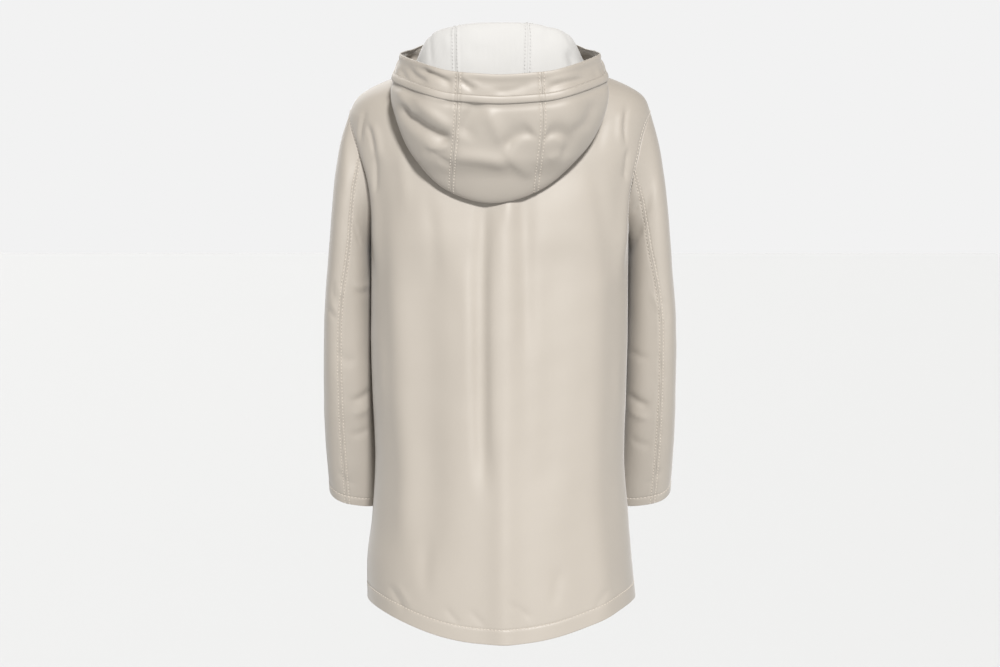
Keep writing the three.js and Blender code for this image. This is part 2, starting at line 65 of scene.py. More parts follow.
# Sewing
NEEDLE_HALF = 3.7
EDGE_STITCH = 4.5
STITCH_PITCH = 5.2
STITCH_LONG = 3.4
THREAD_RADIUS = 0.75
HEM_BAND = 22
CUFF_BAND = 14
FACING_WIDE = 42
TURN_PAST = 1
TURN_SOFT = 2
HEM_LIFT = 0.3
HEM_LIFT_SOFT = 3

# Depth and width of what the sewing draws in or lifts
SEAM_DITCH = (0.8, 1.6)
HEM_NEEDLE = (0.5, 1.3)
EDGE_NEEDLE = (0.55, 1.1)
PLACKET_NEEDLE = (0.3, 0.9)
TWIN_BAND = (0.35, 5.5)
TWIN_NEEDLE = (0.8, 1.3)
TWIN_DITCH = (0.5, 0.8)
UNDER_CHANNEL = (1.5, 4)
UNDER_RIM = (1.0, 5)
RIM_ROLL = (0.9, 3)
UNDER_CHANNEL_AT = 4.5
UNDER_RIM_AT = 13
RIM_ROLL_AT = 4

# Slow swells of the cloth and the gathers beside its seams: seed, length of a wave and depth
WIDE_SWELL = (3, 150, 0.55)
HOOD_SWELL = (3, 150, 0.5)
FINE_SWELL = (4, 60, 0.16)
GATHERS = (5, 15, 0.4)
GATHERS_WIDE = 8


# Curves and tables
def table(columns, rows):
    """A row for each section or fold, as a dictionary by the names of its columns."""
    names = columns.split()
    return [dict(zip(names, row)) for row in rows]


def smooth_through(places, values):
    """A smooth curve through values at uneven places, with the slope of the parabola through each three."""
    places, values = np.asarray(places, float), np.asarray(values, float)
    wide = (-1,) + (1,) * (values.ndim - 1)
    span = np.diff(places)
    rise = np.diff(values, axis=0) / span.reshape(wide)
    before, after = span[:-1].reshape(wide), span[1:].reshape(wide)
    middle = (rise[:-1] * after + rise[1:] * before) / (before + after)
    slopes = np.concatenate([rise[:1], middle, rise[-1:]])

    def curve(place):
        place = np.asarray(place, float)
        at = np.clip(np.searchsorted(places, place) - 1, 0, len(span) - 1)
        shape = place.shape + (1,) * (values.ndim - 1)
        gap = span[at].reshape(shape)
        t = ((place - places[at]) / span[at]).reshape(shape)
        hold = (1 + 2 * t) * (1 - t) ** 2
        reach = t * t * (3 - 2 * t)
        leave = t * (1 - t) ** 2 * gap
        arrive = t * t * (t - 1) * gap
        return hold * values[at] + reach * values[at + 1] + leave * slopes[at] + arrive * slopes[at + 1]

    return curve


def columns_of(rows, places):
    return {name: smooth_through(places, [row[name] for row in rows]) for name in rows[0]}


def ease(share):
    held = np.clip(share, 0, 1)
    return held * held * (3 - 2 * held)


def mix(start, end, share):
    return start + (end - start) * share


def unit(vectors):
    return vectors / np.maximum(np.linalg.norm(vectors, axis=-1, keepdims=True), 1e-12)


# Body of the coat: rings from the neck down to the hem. side, back and front are the ring's heights there,
# left and right its half widths, deepBack and deepFront its depths, boxBack and boxFront how boxy it is.
body_rows = table("side back front left right deepBack deepFront boxBack boxFront", [
    [0, 14, -58, 74, 74, 72, 78, 2.0, 2.0],
    [-9, 3, -63, 110, 112, 80, 85, 2.1, 2.1],
    [-21, -18, -71, 155, 161, 89, 94, 2.2, 2.2],
    [-43, -48, -82, 198, 202, 98, 103, 2.3, 2.3],
    [-67, -75, -96, 214, 215, 105, 113, 2.4, 2.4],
    [-88, -97, -112, 217, 217, 110, 123, 2.4, 2.4],
    [-126, -132, -142, 207.5, 207, 117, 135, 2.6, 2.5],
    [-158, -163, -170, 195, 194.5, 120, 142, 2.8, 2.4],
    [-186, -190, -196, 187, 186.5, 122, 147, 3.0, 2.3],
    [-215, -218, -222, 184.5, 184, 124, 149, 3.0, 2.3],
    [-245, -247, -250, 184, 183.5, 126, 150, 2.9, 2.3],
    [-290, -292, -293, 184.5, 183.5, 128, 151, 2.6, 2.3],
    [-383, -386, -385, 187, 184.5, 133, 149, 2.35, 2.3],
    [-470, -476, -472, 185.5, 183, 136, 146, 2.25, 2.25],
    [-573, -584, -575, 181.5, 181, 140, 145, 2.2, 2.2],
    [-658, -680, -660, 186.5, 187, 145, 147, 2.2, 2.2],
    [-715, -748, -718, 194, 192, 148, 149, 2.2, 2.2],
    [-772, -812, -776, 194, 197.5, 150, 151, 2.2, 2.2],
])
TIP_ROW = 4
UNDERARM_ROW = 10
HEM_ROW = len(body_rows) - 1
body_column = columns_of(body_rows, range(len(body_rows)))

# Armhole seam: how far behind and before the side it crosses the rings, from the shoulder tip to the underarm.
# Behind, the right one is pulled further in than the left one.
armhole_table = table("row behindLeft behindRight before", [
    [4, 0, 0, 0],
    [5, 30, 44, 33],
    [6, 45, 56, 55],
    [7, 46, 56, 58],
    [8, 40, 46, 52],
    [9, 25, 28, 33],
    [10, 0, 0, 0],
])
armhole_places = [at["row"] for at in armhole_table]
armhole_squared = {
    (face, hand): smooth_through(armhole_places, [at[name] ** 2 for at in armhole_table])
    for face, hand, name in (
        (-1, -1, "behindLeft"), (-1, 1, "behindRight"), (1, -1, "before"), (1, 1, "before"),
    )
}

# Largest folds of the body, as its solids have them. Each runs down from one angle round the ring to another,
# between two heights, soft over its width in degrees, and stands out by so much, or in where out is negative.
back_folds = table("fromTurn toTurn top bottom wide out", [
    [1.5, 2, -150, -900, 6, 6],
    [-7, -7, -150, -620, 3.6, -5],
    [10.5, 11.5, -150, -430, 4, -4],
    [-31, -32, -230, -740, 9, -5],
    [-48, -45, -200, -700, 7, 4],
    [24, 21, -200, -640, 8, -3.5],
    [44, 47, -230, -900, 8, 4],
    [-61, -62, -84, -330, 6, 6],
    [61, 62, -84, -330, 6, 6],
    [-71, -71, -90, -200, 4, -3],
    [71, 71, -90, -200, 4, -3],
])
front_folds = table("fromTurn toTurn top bottom wide out", [
    [-27, -31, -300, -900, 8, 4],
    [28, 33, -320, -900, 8, 4],
    [-14, -16, -340, -900, 6, -3],
    [15, 17, -330, -900, 6, -3],
    [-50, -52, -320, -740, 7, -3],
    [49, 51, -320, -740, 7, -3],
])
FOLD_FADE = 90


def fold_out(folds, degrees, z):
    out = 0
    for fold in folds:
        down = (fold["top"] - z) / (fold["top"] - fold["bottom"])
        middle = mix(fold["fromTurn"], fold["toTurn"], np.clip(down, 0, 1))
        begin = ease((fold["top"] - z) / FOLD_FADE)
        end = ease((z - fold["bottom"]) / FOLD_FADE)
        out = out + fold["out"] * begin * end * np.exp(-(((degrees - middle) / fold["wide"]) ** 2))
    return out


def body_point(face, turn, row):
    """Points of the body: face is -1 on the back and 1 on the front, turn the angle from its middle,
    positive to the wearer's right, and row a place in the table of rings."""
    turn, row = np.broadcast_arrays(np.asarray(turn, float), np.asarray(row, float))
    side, middle = np.sin(turn), np.cos(turn)
    back = face < 0
    boxy = body_column["boxBack" if back else "boxFront"](row)
    shrink = (np.abs(side) ** boxy + np.abs(middle) ** boxy) ** (-1 / boxy)
    reach = mix(body_column["left"](row), body_column["right"](row), (1 + side) / 2)
    deep = body_column["deepBack" if back else "deepFront"](row)
    inward = middle * shrink
    x = reach * side * shrink
    y = face * deep * inward
    middle_z = body_column["back" if back else "front"](row)
    z = mix(body_column["side"](row), middle_z, np.clip(inward, 0, 1) ** HEM_ROUND)
    out = fold_out(back_folds if back else front_folds, np.degrees(turn), z)
    away = unit(np.stack([x / reach**2, y / deep**2, np.zeros_like(x)], axis=-1))
    return np.stack([x, y, z], axis=-1) + away * out[..., None]


def edge_turn(face, hand, row):
    """The angle at which the side seam, armhole or shoulder seam crosses a ring."""
    row = np.asarray(row, float)
    deep = body_column["deepBack" if face < 0 else "deepFront"](row)
    boxy = body_column["boxBack" if face < 0 else "boxFront"](row)
    share = np.sqrt(np.maximum(0, armhole_squared[face, hand](row))) / deep
    turned = np.arctan2((1 - share**boxy) ** (1 / boxy), share)
    return np.where((row <= TIP_ROW) | (row >= UNDERARM_ROW), pi / 2, turned)


armhole_rows = [4, 4.2, 4.65, 5.25, 6, 6.5, 7, 7.5, 8.2, 9.2, 10]
HALF_RING = len(armhole_rows) - 1


def armhole_row(step):
    """The place in the table of rings after so many steps along the armhole, eased at both its ends."""
    step = np.asarray(step, float)
    whole = np.clip(np.floor(step), 0, HALF_RING - 1).astype(int)
    share = step - whole
    share = np.where(whole == 0, share**2, share)
    share = np.where(whole == HALF_RING - 1, 1 - (1 - share) ** 2, share)
    rows = np.asarray(armhole_rows)
    return mix(rows[whole], rows[whole + 1], share)


# Sleeves: rings from the armhole to the cuff, with the outermost and the innermost point of each, how deep
# it is from there to its back and front, how far its plane leans, since the arm hangs a little forward, and
# how boxy it is
sleeve_rings = table("place outX outY outZ inX inY inZ deep lean boxy", [
    [42, 227.5, 0, -108, 187, 30, -266, 60, 0, 2.1],
    [92, 236, 4, -155, 185.5, 44, -294, 65, 2, 2.3],
    [152, 243, 11, -215, 185, 52, -327, 67, 4, 2.5],
    [206, 249, 20, -280, 184.8, 58, -364, 66, 7, 2.7],
    [258, 255, 30, -345, 184, 64, -406, 64, 10, 2.9],
    [310, 258, 42, -405, 182.5, 70, -450, 62, 12, 2.9],
    [380, 259.5, 62, -480, 179.5, 84, -512, 59, 15, 2.8],
    [452, 259.5, 88, -555, 175, 105, -575, 56, 17, 2.7],
    [526, 257.5, 117, -628, 170, 130, -642, 53, 19, 2.6],
])
SLEEVE_LONG = sleeve_rings[-1]["place"]
BACK_SEAM = 4
FRONT_SEAM = -6


def sleeve_grid(hand, around, places):
    """The sleeve's points at each place down it and each step round it, from the shoulder tip backwards."""
    row = armhole_row(np.abs(around))
    start = np.where(
        (around < 0)[:, None],
        body_point(1, hand * edge_turn(1, hand, row), row),
        body_point(-1, hand * edge_turn(-1, hand, row), row),
    )
    turn = around / HALF_RING * pi
    rings = [start]
    for ring in sleeve_rings:
        outer = np.array([ring["outX"], ring["outY"], ring["outZ"]])
        inner = np.array([ring["inX"], ring["inY"], ring["inZ"]])
        half = (outer - inner) / 2
        lean = radians(ring["lean"])
        backward = np.array([0, -ring["deep"] * cos(lean), -ring["deep"] * sin(lean)])
        side, behind = np.cos(turn)[:, None], np.sin(turn)[:, None]
        shrink = (np.abs(side) ** ring["boxy"] + np.abs(behind) ** ring["boxy"]) ** (-1 / ring["boxy"])
        points = (inner + half) + side * shrink * half + behind * shrink * backward
        rings.append(points * [hand, 1, 1])
    return smooth_through([0] + [ring["place"] for ring in sleeve_rings], rings)(places)


# Hood: stations from the centre back round to the front edge, the same on both hands. Each rises from the
# neck seam at neckTurn, folds over at the top (fold), hangs down inside, turns at the bottom of the bag
# (floor), swells out behind (bulge) and ends at the rim of the hood opening. Places count from the seam.
hood_stations = table(
    "neckTurn lift foldX foldY foldZ innerX innerY innerZ "
    "floorX floorY floorZ bulgeX bulgeY bulgeZ rimX rimY rimZ",
    [
        [0, 8, 0, -25, 43, 0, -56, -74, 0, -64, -224, 0, -116, -108, 0, -127, -35],
        [33.7, 8, 21, -32, 46, 19, -64, -66, 18, -75, -201, 18, -126, -97, 15, -135, -25],
        [56, 10, 36, -35, 40, 41, -72, -50, 44, -90, -155, 43, -134, -81, 35, -137, -10],
        [72, 12, 41, -26, 15, 56, -68, -40, 65, -92, -101, 78, -104, -57, 65, -98, 8],
        [82, 12, 36, -20, 9, 50, -52, -14, 61, -73, -35, 73, -79, -20, 60, -72, 15],
        [94, 10, 31, -13, 10, 42, -33, -2, 55, -47, -8, 63, -51, 4, 46, -41, 21],
        [122, 4, 9, -4, 8, 14, -7, 9, 20, -10, 9, 27, -15, 12, 28, -25, 37],
        [150, 0, 2.5, 1, 4, 4.5, 2, 8, 6.5, 2.5, 12, 10, 3.5, 19, 19, 5, 50],
        [171, 0, 0.4, 1, 1.5, 0.6, 1.6, 3, 0.8, 2.2, 4.5, 1.1, 3.3, 7, 2.5, 15, 38],
    ],
)
SEAM_STATION = 1
EDGE_STATION = len(hood_stations) - 1
FOLD_TIGHT = {"before": 0.18, "after": 0.08}
FLOOR_TIGHT = {"before": 0.09, "after": 0.15}
STAND_SHARE = 0.25
NECK_SEAM_GAP = 0.45

# The bag hangs a little to the wearer's left
BAG_LEAN = -9
LEAN_TOP = -70
LEAN_DEEP = 125
LEAN_BEHIND = -85
LEAN_SOFT = 40


def mirrored_column(name):
    """A column of the stations as a smooth curve, the same on both hands."""
    changes = -1 if name.endswith("X") or name == "neckTurn" else 1
    values = [station[name] for station in hood_stations]
    both = [changes * value for value in values[:0:-1]] + values
    return smooth_through(np.arange(-EDGE_STATION, EDGE_STATION + 1), both)


hood_column = {name: mirrored_column(name) for name in hood_stations[0]}


def hood_knots(place):
    """The knots at one place: neck, stand, both ends of the fold, inner, both ends of the floor, bulge, rim."""
    turn = radians(float(hood_column["neckTurn"](place)))
    if abs(turn) > pi / 2:
        neck = body_point(1, np.sign(turn) * (pi - abs(turn)), 0)
    else:
        neck = body_point(-1, turn, 0)
    neck = neck + [0, 0, NECK_SEAM_GAP]

    def pick(name):
        return neck + [float(hood_column[name + axis](place)) for axis in "XYZ"]

    fold, inner, floor, bulge, rim = (pick(name) for name in ("fold", "inner", "floor", "bulge", "rim"))
    stand = mix(neck, fold, STAND_SHARE) + [0, 0, float(hood_column["lift"](place))]
    return np.array([
        neck,
        stand,
        mix(fold, stand, FOLD_TIGHT["before"]),
        mix(fold, inner, FOLD_TIGHT["after"]),
        inner,
        mix(floor, inner, FLOOR_TIGHT["before"]),
        mix(floor, bulge, FLOOR_TIGHT["after"]),
        bulge,
        rim,
    ])


# Rows of the hood follow its knots at first, and from the swell on they keep to the rim, so that the channel
# runs at one distance from the edge all the way round
knot_rows = [0, 0.5, 1, 1.5, 2, 2.5, 3, 3.5, 4, 4.35, 4.7, 4.9, 5.2, 5.5, 6, 6.5]
SWELL_ROWS = 4
SWELL_LEAST = 4
LAST_KNOT_ROW = len(knot_rows) - 1
CHANNEL_ROW = LAST_KNOT_ROW + SWELL_ROWS
HOOD_ROWS = CHANNEL_ROW + 3
NEAR_STATION = 3.2
NEAR_OVER = 2
FLOOR_ROW = 11.5
KNOT_STEPS = 12


def rim_distances(place):
    """Distances from the rim of the rows past the swell: the channel's two edges, one row more and the rim."""
    near = mix(CHANNEL_FROM_RIM, CHANNEL_FROM_RIM_FRONT, ease((abs(place) - NEAR_STATION) / NEAR_OVER))
    return [near + CHANNEL_WIDE, near, RIM_STEP, 0]


def hood_line(place, rows):
    """The points of the hood at one place across it, on each of its rows."""
    past_swell = rim_distances(place)
    knots = hood_knots(place)
    gaps = np.sqrt(np.linalg.norm(np.diff(knots, axis=0), axis=1))
    places = np.concatenate([[0], np.cumsum(gaps)])
    curve = smooth_through(places, knots)
    knot_places = np.linspace(0, len(knots) - 1, KNOT_STEPS * (len(knots) - 1) + 1)
    samples = np.interp(knot_places, np.arange(len(knots)), places)
    lengths = np.concatenate([[0], np.cumsum(np.linalg.norm(np.diff(curve(samples), axis=0), axis=1))])
    length = lengths[-1]
    to = length - past_swell[0]
    last = np.interp(knot_rows[-1], knot_places, lengths)
    start = min(last, to - SWELL_LEAST)
    knot_at = np.interp(rows, np.arange(LAST_KNOT_ROW + 1), knot_rows)
    by_knots = np.interp(knot_at, knot_places, lengths) * (start / last)
    by_swell = mix(start, to, (rows - LAST_KNOT_ROW) / SWELL_ROWS)
    by_rim = length - np.interp(rows - CHANNEL_ROW, range(len(past_swell)), past_swell)
    far = np.where(rows <= LAST_KNOT_ROW, by_knots, np.where(rows <= CHANNEL_ROW, by_swell, by_rim))
    points = curve(np.interp(far, lengths, samples))
    low = ease((LEAN_TOP - points[:, 2]) / LEAN_DEEP)
    behind = ease((LEAN_BEHIND - points[:, 1]) / LEAN_SOFT)
    points[:, 0] += BAG_LEAN * low * behind
    return points


# Grids of cloth
def lengths_along(points, axis):
    """How far each point of a grid lies from the start of its line."""
    step = np.linalg.norm(np.diff(points, axis=axis), axis=-1)
    start = np.zeros_like(np.take(step, [0], axis=axis))
    return np.cumsum(np.concatenate([start, step], axis=axis), axis=axis)


def respaced(points, near_start, near_end, pitch):
    """The grid with new points along each of its rows: at fixed distances from both ends, even between."""
    far = lengths_along(points, 1)
    between = int(np.median(far[:, -1]) / pitch)
    lines = []
    for line, length in zip(points, far):
        inner = np.linspace(near_start[-1], length[-1] - near_end[-1], between)
        at = np.concatenate([near_start[:-1], inner, length[-1] - np.asarray(near_end[:-1])[::-1]])
        lines.append(smooth_through(length, line)(at))
    return np.array(lines)


def respaced_down(points, near_top, near_bottom, pitch):
    return respaced(points.swapaxes(0, 1), near_top, near_bottom, pitch).swapaxes(0, 1)


def grid_normals(points, facing):
    down = np.gradient(points, axis=0)
    across = np.gradient(points, axis=1)
    return unit(np.cross(across, down)) * facing


class Grid:
    """A piece's points with their distances in millimetres from its four edges and its outward directions."""

    def __init__(self, points, facing):
        self.points = points
        self.facing = facing
        across = lengths_along(points, 1)
        down = lengths_along(points, 0)
        self.start = across
        self.end = across[:, -1:] - across
        self.top = down
        self.bottom = down[-1:, :] - down
        self.out = grid_normals(points, facing)

    def raised(self, height):
        return Grid(self.points + self.out * np.asarray(height)[..., None], self.facing)


# Relief of the cloth
def unevenness(points, seed, wave, deep):
    """Slow soft swells over the whole coat, from where a point is, so that neighbouring pieces agree."""
    draw = np.random.default_rng(seed)
    height = 0
    for _ in range(7):
        way = unit(draw.normal(size=3)) * (2 * pi / (wave * draw.uniform(0.7, 1.5)))
        height = height + np.sin(points @ way + draw.uniform(0, 2 * pi))
    return height * deep / 7**0.5


# The film stiffens the jersey, so that its narrow creases come to an edge and only its wide ones roll
NARROW = 5.5
EDGED = 1.4
ROLLED = 2


def strokes(creases, a, b):
    """Creases drawn over two coordinates of a piece. Each runs from one place to another with a bow
    to one side, soft over its width, and fades at both ends over a share of its length. A lop, where it has
    one, makes that side of it so many times wider."""
    height = np.zeros(np.broadcast(a, b).shape)
    for crease in creases:
        run = np.array([crease["toA"] - crease["fromA"], crease["toB"] - crease["fromB"]], float)
        long = np.hypot(*run)
        along = ((a - crease["fromA"]) * run[0] + (b - crease["fromB"]) * run[1]) / long**2
        beside = ((b - crease["fromB"]) * run[0] - (a - crease["fromA"]) * run[1]) / long
        held = np.clip(along, 0, 1)
        beside = beside - crease["bow"] * 4 * held * (1 - held)
        fade = crease["fade"]
        ends = ease(along / fade) * ease((1 - along) / fade)
        power = EDGED if crease["wide"] < NARROW else ROLLED
        wide = crease["wide"] * np.where(beside > 0, crease.get("lop", 1), 1)
        height = height + crease["out"] * ends * np.exp(-(np.abs(beside / wide) ** power))
    return height


def puckers(points, distance):
    """Small gathers of the cloth beside a sewn seam, where the thread draws it in."""
    return unevenness(points, *GATHERS) * np.exp(-((distance / GATHERS_WIDE) ** 2))


def drawn_in(distance, at, sewn):
    """A groove at one distance from an edge, of the depth and width that the sewing gives it."""
    deep, wide = sewn
    return -deep * np.exp(-(((distance - at) / wide) ** 2))


def twin_needle(distance):
    """Across a seam with a needle row on each side: a low band between the rows, the seam in its middle."""
    needles = drawn_in(np.abs(distance), NEEDLE_HALF, TWIN_NEEDLE)
    return -drawn_in(distance, 0, TWIN_BAND) + needles + drawn_in(distance, 0, TWIN_DITCH)


def turned_hem(distance, band):
    """The needle row that holds a turned hem, and the lift that its second layer gives below the row."""
    return drawn_in(distance, band, HEM_NEEDLE) + HEM_LIFT * ease((band - distance) / HEM_LIFT_SOFT)


# Materials
def linear(colour):
    """An sRGB hex colour as linear red, green, blue and alpha."""
    channels = [int(colour[at:at + 2], 16) / 255 for at in (1, 3, 5)]
    return [c / 12.92 if c <= 0.04045 else ((c + 0.055) / 1.055) ** 2.4 for c in channels] + [1]


def node(tree, kind, settings=None, links=None):
    """Adds a node, with its own settings, its sockets' values and links from other nodes' outputs."""
    made = tree.nodes.new(kind)
    for name, value in (settings or {}).items():
        if name in made.inputs.keys():
            made.inputs[name].default_value = value
        else:
            setattr(made, name, value)
    for name, output in (links or {}).items():
        tree.links.new(output, made.inputs[name])
    return made


def new_material(name):
    made = bpy.data.materials.new(name)
    made.use_nodes = True
    made.node_tree.nodes.clear()
    return made, made.node_tree


def noise(tree, where, settings):
    return node(tree, "ShaderNodeTexNoise", settings, {"Vector": where}).outputs["Fac"]


def tones(tree, share, start, end):
    """A colour between two, by a share."""
    tone = node(tree, "ShaderNodeMix", {"data_type": "RGBA"}, {"Factor": share})
    tone.inputs["A"].default_value = linear(start)
    tone.inputs["B"].default_value = linear(end)
    return tone.outputs["Result"]


def surface(tree, settings, links=None):
    skin = node(tree, "ShaderNodeBsdfPrincipled", settings, links)
    node(tree, "ShaderNodeOutputMaterial", {}, {"Surface": skin.outputs["BSDF"]})


def coated_jersey_face():
    """Polyurethane film cast on jersey: a smooth satin skin with a faint fine grain, warm beige, and slow
    differences of gloss where the film lies thicker."""
    made, tree = new_material("polyurethane_coated_jersey")
    where = node(tree, "ShaderNodeTexCoord").outputs["Object"]
    cloud = noise(tree, where, {"Scale": 9.0, "Detail": 3.0, "Roughness": 0.5})
    grain = noise(tree, where, {"Scale": 1 / (1.6 * MM), "Detail": 2.0, "Roughness": 0.6})
    gloss = node(tree, "ShaderNodeMapRange", {"To Min": 0.46, "To Max": 0.56}, {"Value": cloud})
    bump = node(tree, "ShaderNodeBump", {"Strength": 0.25, "Distance": 0.12 * MM}, {"Height": grain})
    surface(tree, {"IOR": 1.5, "Sheen Weight": 0.2, "Sheen Roughness": 0.4}, {
        "Base Color": tones(tree, cloud, "#968f86", "#9c958c"),
        "Roughness": gloss.outputs["Result"],
        "Normal": bump.outputs["Normal"],
    })
    return made


# The bands of the wave texture repeat 20 times over its unit
WAVE_BANDS = 20
WALE_WIDE = 1.2


def jersey_reverse():
    """Knitted polyester jersey, the white reverse of the cloth: matt, with fine upright wales."""
    made, tree = new_material("white_jersey_reverse")
    where = node(tree, "ShaderNodeUVMap", {"uv_map": "cloth"}).outputs["UV"]
    bands = {"wave_type": "BANDS", "bands_direction": "X", "Distortion": 0.4}
    bands["Scale"] = 1 / (WAVE_BANDS * WALE_WIDE * MM)
    wale = node(tree, "ShaderNodeTexWave", bands, {"Vector": where})
    cloud = noise(tree, where, {"Scale": 14.0, "Detail": 3.0})
    bump = node(
        tree, "ShaderNodeBump", {"Strength": 0.3, "Distance": 0.15 * MM}, {"Height": wale.outputs["Fac"]},
    )
    surface(
        tree, {"Roughness": 0.85, "IOR": 1.45, "Sheen Weight": 0.25, "Sheen Roughness": 0.5},
        {"Base Color": tones(tree, cloud, "#abaaa8", "#b2b1af"), "Normal": bump.outputs["Normal"]},
    )
    return made


def sewing_thread(name, dark, light):
    """Spun polyester sewing thread, a little lighter than the cloth beside it, soft and hardly shiny."""
    made, tree = new_material(name)
    where = node(tree, "ShaderNodeTexCoord").outputs["Object"]
    twist = noise(tree, where, {"Scale": 1 / (0.8 * MM), "Detail": 1.0})
    settings = {"Roughness": 0.6, "IOR": 1.5, "Sheen Weight": 0.2}
    surface(tree, settings, {"Base Color": tones(tree, twist, dark, light)})
    return made


def plated_brass():
    """Brass press-stud cap, nickel plated and satin brushed: a grey-gold metal with soft blurred highlights."""
    made, tree = new_material("satin_plated_brass")
    where = node(tree, "ShaderNodeTexCoord").outputs["Object"]
    brush = noise(tree, where, {"Scale": 1 / (0.6 * MM), "Detail": 2.0})
    gloss = node(tree, "ShaderNodeMapRange", {"To Min": 0.24, "To Max": 0.38}, {"Value": brush})
    settings = {"Base Color": linear("#b9b3a8"), "Metallic": 1.0}
    surface(tree, settings, {"Roughness": gloss.outputs["Result"]})
    return made


coated_face = coated_jersey_face()
reverse_face = jersey_reverse()
face_thread = sewing_thread("spun_polyester_thread", "#a69e93", "#b5ada2")
reverse_thread = sewing_thread("white_polyester_thread", "#a1a09e", "#b5b4b2")
stud_finish = plated_brass()


# Meshes
def mesh_object(name, points, faces, materials, face_materials=None, uv=None):
    mesh = bpy.data.meshes.new(name)
    mesh.from_pydata(np.asarray(points, float) * MM, [], faces)
    for material in materials:
        mesh.materials.append(material)
    if face_materials is not None:
        mesh.polygons.foreach_set("material_index", np.asarray(face_materials, np.int32))
    if uv is not None:
        layer = mesh.uv_layers.new(name="cloth")
        corners = np.empty(len(mesh.loops), np.int32)
        mesh.loops.foreach_get("vertex_index", corners)
        layer.data.foreach_set("uv", (np.asarray(uv, float)[corners] * MM).ravel())
    mesh.polygons.foreach_set("use_smooth", np.ones(len(mesh.polygons), bool))
    mesh.update()
    made = bpy.data.objects.new(name, mesh)
    bpy.context.scene.collection.objects.link(made)
    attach(made, "root")
    return made


def cloth_shell(name, grid, inner_coated=None, wall=None):
    """A closed shell of cloth inside a grid: the coated face outside, the white reverse inside, and the coated
    face again where a hem or facing is turned in."""
    rows, columns = grid.points.shape[:2]
    thick = np.full((rows, columns), CLOTH_WALL) if wall is None else wall
    inner = grid.points - grid.out * thick[..., None]
    points = np.concatenate([grid.points.reshape(-1, 3), inner.reshape(-1, 3)])
    flat = np.stack([grid.start, grid.top], axis=-1).reshape(-1, 2)
    index = np.arange(rows * columns).reshape(rows, columns)
    square = np.stack([index[:-1, :-1], index[1:, :-1], index[1:, 1:], index[:-1, 1:]], axis=-1).reshape(-1, 4)
    if grid.facing > 0:
        square = square[:, ::-1]
    under = square[:, ::-1] + rows * columns
    border = np.concatenate([index[0, :-1], index[:-1, -1], index[-1, :0:-1], index[:0:-1, 0]])
    after = np.roll(border, -1)
    rim = np.stack([border, after, after + rows * columns, border + rows * columns], axis=-1)
    if grid.facing > 0:
        rim = rim[:, ::-1]
    reverse = np.ones((rows, columns), bool) if inner_coated is None else ~inner_coated
    corner = reverse[:-1, :-1] & reverse[1:, :-1] & reverse[:-1, 1:] & reverse[1:, 1:]
    which = np.concatenate([np.zeros(len(square)), corner.reshape(-1), np.zeros(len(rim))])
    faces = np.concatenate([square, under, rim]).tolist()
    made = mesh_object(name, points, faces, [coated_face, reverse_face], which, np.concatenate([flat, flat]))
    return made


def capsule(sides=6):
    """A stitch as seen on the cloth: a round float of thread, its tapered ends diving into their holes."""
    half = [(0.3, 1, 0.35), (0.72, 0.8, 0), (1, 0.25, -0.9)]
    rings = [(-along, wide, high) for along, wide, high in half[::-1]] + half
    points = [
        (along, wide * cos(2 * pi * side / sides), wide * sin(2 * pi * side / sides) + high)
        for along, wide, high in rings for side in range(sides)
    ]
    last = (len(rings) - 1) * sides
    faces = []
    for ring in range(0, last, sides):
        for side in range(sides):
            here, beside = ring + side, ring + (side + 1) % sides
            faces.append((here, beside, beside + sides, here + sides))
    faces += [tuple(range(sides))[::-1], tuple(range(last, last + sides))]
    return np.array(points), faces


def at_length(far, line, at):
    """The value of a line at one length along it."""
    return np.array([np.interp(at, far, line[:, axis]) for axis in range(3)])


def stitch_rows(name, rows, reverse_rows=()):
    """Floats of thread along each row, which is a line of points with the cloth's outward direction at each.
    The rows on the reverse come after those on the face, in the white bobbin thread."""
    form, form_faces = capsule()
    sized = form * [STITCH_LONG / 2, THREAD_RADIUS, THREAD_RADIUS]
    points, faces, threads = [], [], []
    for thread, (line, out) in [(0, row) for row in rows] + [(1, row) for row in reverse_rows]:
        far = np.concatenate([[0], np.cumsum(np.linalg.norm(np.diff(line, axis=0), axis=1))])
        count = int(far[-1] / STITCH_PITCH)
        for number in range(count):
            middle = (number + 0.5) * far[-1] / count
            begin = at_length(far, line, middle - STITCH_LONG / 2)
            end = at_length(far, line, middle + STITCH_LONG / 2)
            up = unit(at_length(far, out, middle))
            along = unit(end - begin)
            aside = np.cross(up, along)
            start = len(points) * len(form)
            points.append((begin + end) / 2 + sized[:, :1] * along + sized[:, 1:2] * aside + sized[:, 2:] * up)
            faces += [tuple(start + corner for corner in face) for face in form_faces]
            threads += [thread] * len(form_faces)
    made = mesh_object(name, np.concatenate(points), faces, [face_thread, reverse_thread], threads)
    return made


def level_line(points, outs, distances, at):
    """The line over a grid where a distance has one value, with the outward directions there."""
    line, out = [], []
    for lane, lane_out, far in zip(points, outs, distances):
        order = np.argsort(far)
        line.append(at_length(far[order], lane[order], at))
        out.append(at_length(far[order], lane_out[order], at))
    return np.array(line), unit(np.array(out))


def row_down(grid, distances, at):
    """A row of sewing that crosses each row of a grid, at one distance from a side edge."""
    return level_line(grid.points, grid.out, distances, at)


def row_across(grid, at):
    """A row of sewing that crosses each column of a grid, at one distance from the bottom edge."""
    return level_line(grid.points.swapaxes(0, 1), grid.out.swapaxes(0, 1), grid.bottom.T, at)


